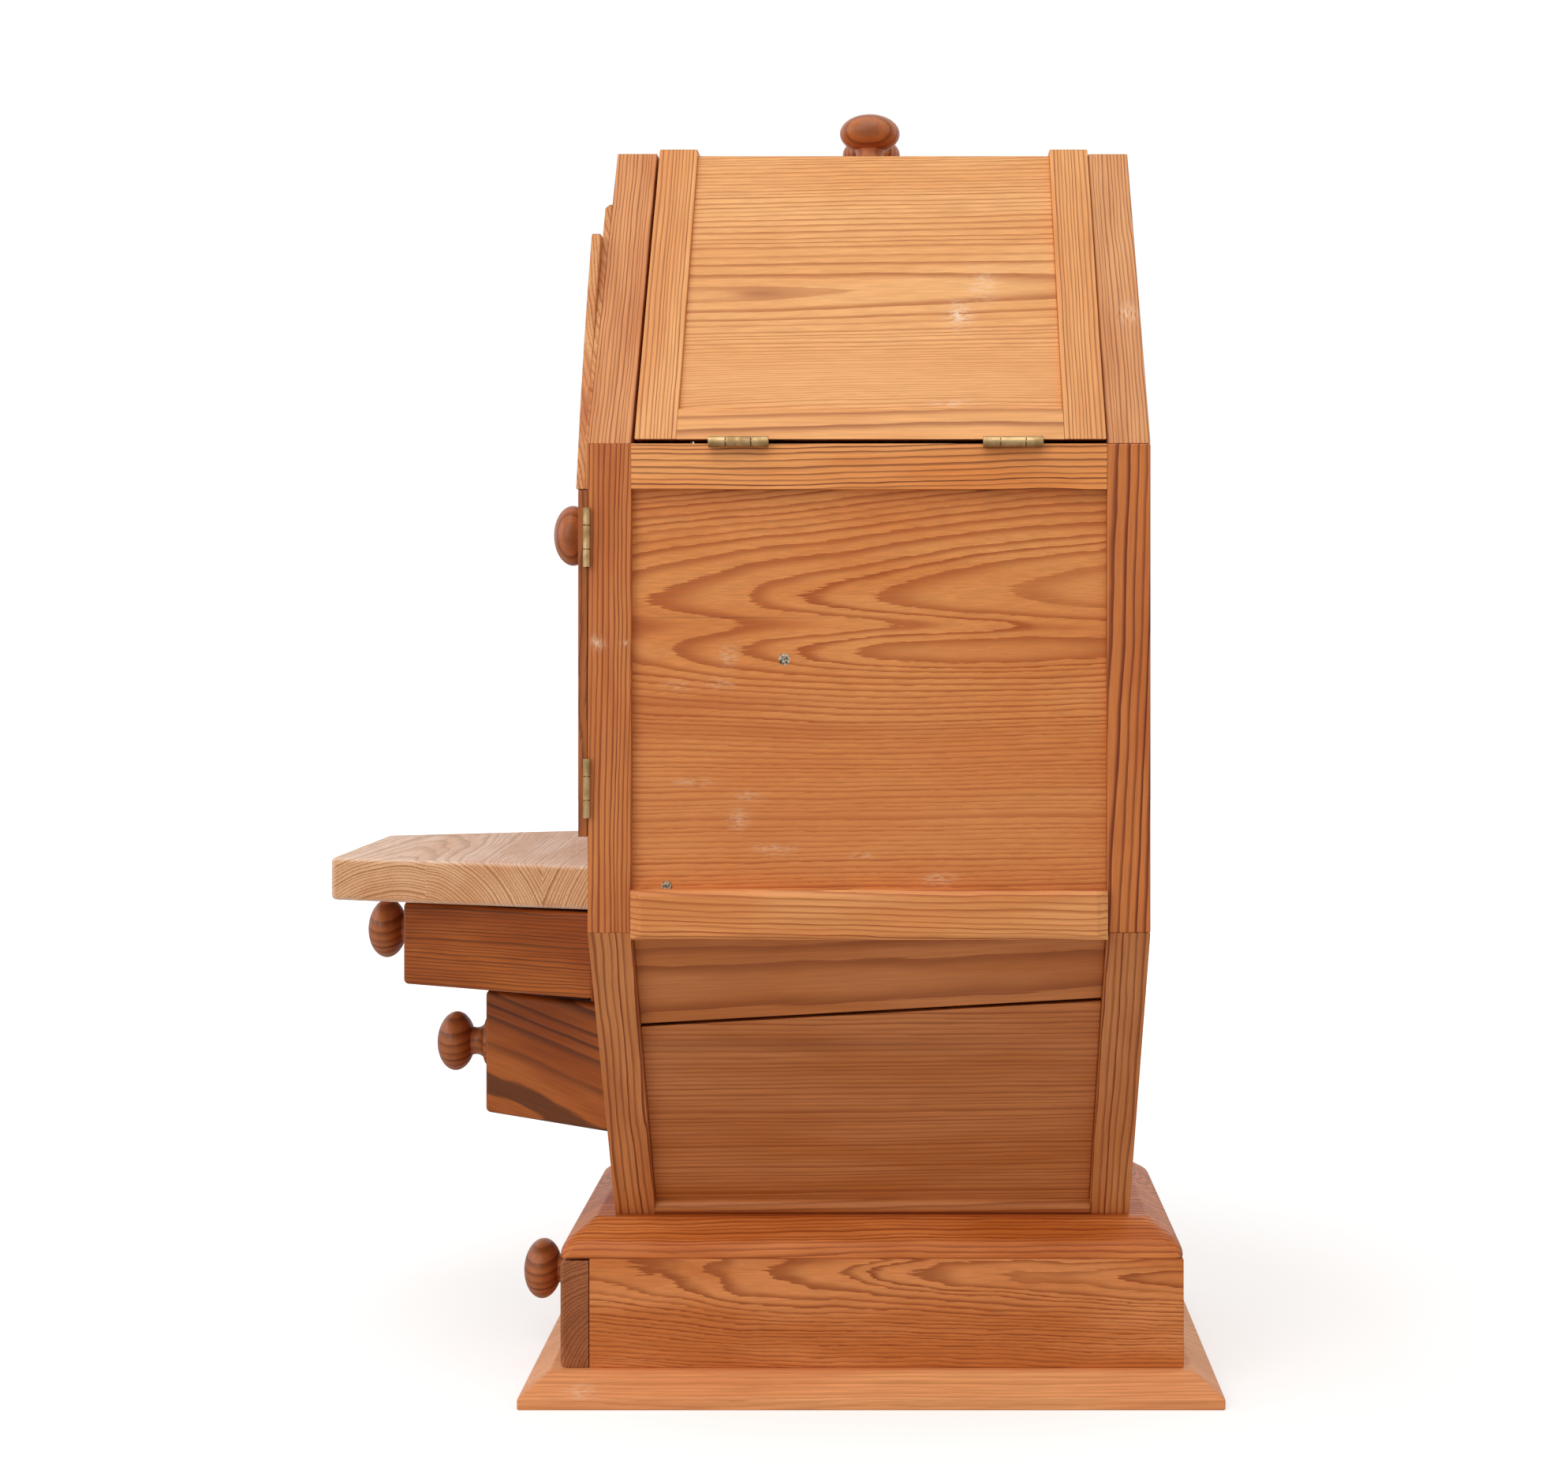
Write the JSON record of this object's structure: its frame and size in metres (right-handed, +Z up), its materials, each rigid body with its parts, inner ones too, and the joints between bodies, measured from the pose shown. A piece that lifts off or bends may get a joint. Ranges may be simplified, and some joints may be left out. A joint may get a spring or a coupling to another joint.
{
  "type": "dry bar",
  "caption": "Barrel-shaped pine dry bar cabinet on a stepped plinth, with hinged side lids, front doors, a projecting counter, bay-fronted drawers and a base drawer.",
  "frame": {"origin": "centre of the plinth's underside, where the cabinet stands on the floor", "axes": "+Z up, -Y towards the front with the doors, counter and drawers, +X towards the right-hand lid, the side that the picture shows"},
  "size_m": [0.507, 0.6468, 0.9408],
  "materials": {
    "post_pine": "satin lacquer",
    "rail_pine": "satin lacquer",
    "panel_pine": "satin lacquer",
    "lower_pine": "satin lacquer",
    "ledge_pine": "satin lacquer",
    "lid_frame_pine": "satin lacquer",
    "lid_panel_pine": "satin lacquer",
    "fascia_pine": "satin lacquer",
    "door_pine": "satin lacquer",
    "counter_pine": "worn matt",
    "drawer_pine": "satin lacquer",
    "base_pine": "satin lacquer",
    "end_grain_pine": "matt end grain",
    "inner_pine": "bare",
    "knob_pine": "turned, satin lacquer",
    "aged_brass": "dull, aged",
    "screw_steel": "dull"
  },
  "bodies": {
    "cabinet": {"plinth_board": "base_pine", "cap_board": "base_pine", "base_sides": "base_pine", "base_back": "base_pine", "front_post_right": "post_pine", "front_post_left": "post_pine", "back_post_right": "post_pine", "back_post_left": "post_pine", "side_rails": "rail_pine", "middle_panels": "panel_pine", "ledge_strips": "ledge_pine", "lower_boards": "lower_pine", "foot_strips": "lower_pine", "top_bars": "rail_pine", "ridge_bar": "rail_pine", "front_upper_panel": "fascia_pine", "fascia_backing": "fascia_pine", "fascia": "fascia_pine", "door_sill": "rail_pine", "drawer_frame": "rail_pine", "back_panel": "inner_pine", "deck": "inner_pine", "shelf": "inner_pine", "drawer_runners": "inner_pine", "counter": "counter_pine", "panel_screws": "screw_steel", "lid_hinge_bases": "aged_brass", "door_hinge_bases": "aged_brass", "hinge_pins": "aged_brass"},
    "right_lid": {"lid_right_stiles": "lid_frame_pine", "lid_right_rail": "lid_frame_pine", "lid_right_panel": "lid_panel_pine", "lid_right_top": "lid_panel_pine", "lid_right_knob": "knob_pine", "lid_right_hinge_leaves": "aged_brass"},
    "left_lid": {"lid_left_stiles": "lid_frame_pine", "lid_left_rail": "lid_frame_pine", "lid_left_panel": "lid_panel_pine", "lid_left_top": "lid_panel_pine", "lid_left_knob": "knob_pine", "lid_left_hinge_leaves": "aged_brass"},
    "right_door": {"door_right_leaf": "door_pine", "door_right_knob": "knob_pine", "door_right_hinge_leaves": "aged_brass"},
    "left_door": {"door_left_leaf": "door_pine", "door_left_knob": "knob_pine", "door_left_hinge_leaves": "aged_brass"},
    "upper_drawer": {"drawer_1_front": "drawer_pine", "drawer_1_bay": "drawer_pine", "drawer_1_box": "inner_pine", "drawer_1_knob": "knob_pine"},
    "lower_drawer": {"drawer_2_front": "drawer_pine", "drawer_2_bay": "drawer_pine", "drawer_2_box": "inner_pine", "drawer_2_knob": "knob_pine"},
    "base_drawer": {"base_drawer_front": "end_grain_pine", "base_drawer_box": "inner_pine", "base_drawer_knob": "knob_pine"}
  },
  "joints": [
    {"name": "right_lid_hinge", "type": "hinge", "parent": "cabinet", "child": "right_lid", "pos_m": [0.24971, 0, 0.67755], "axis": [0, 1, 0], "range_deg": [0, 215.8]},
    {"name": "left_lid_hinge", "type": "hinge", "parent": "cabinet", "child": "left_lid", "pos_m": [-0.24971, 0, 0.67755], "axis": [0, -1, 0], "range_deg": [0, 215.8]},
    {"name": "right_door_hinge", "type": "hinge", "parent": "cabinet", "child": "right_door", "pos_m": [0.2479, -0.1882, 0.53], "axis": [0, 0, 1], "range_deg": [0, 180]},
    {"name": "left_door_hinge", "type": "hinge", "parent": "cabinet", "child": "left_door", "pos_m": [-0.2479, -0.1882, 0.53], "axis": [0, 0, -1], "range_deg": [0, 180]},
    {"name": "upper_drawer_slide", "type": "slide", "parent": "cabinet", "child": "upper_drawer", "axis": [0, -1, 0], "range_m": [0, 0.23]},
    {"name": "lower_drawer_slide", "type": "slide", "parent": "cabinet", "child": "lower_drawer", "axis": [0, -1, 0], "range_m": [0, 0.23]},
    {"name": "base_drawer_slide", "type": "slide", "parent": "cabinet", "child": "base_drawer", "axis": [0, -1, 0], "range_m": [0, 0.3]}
  ]
}
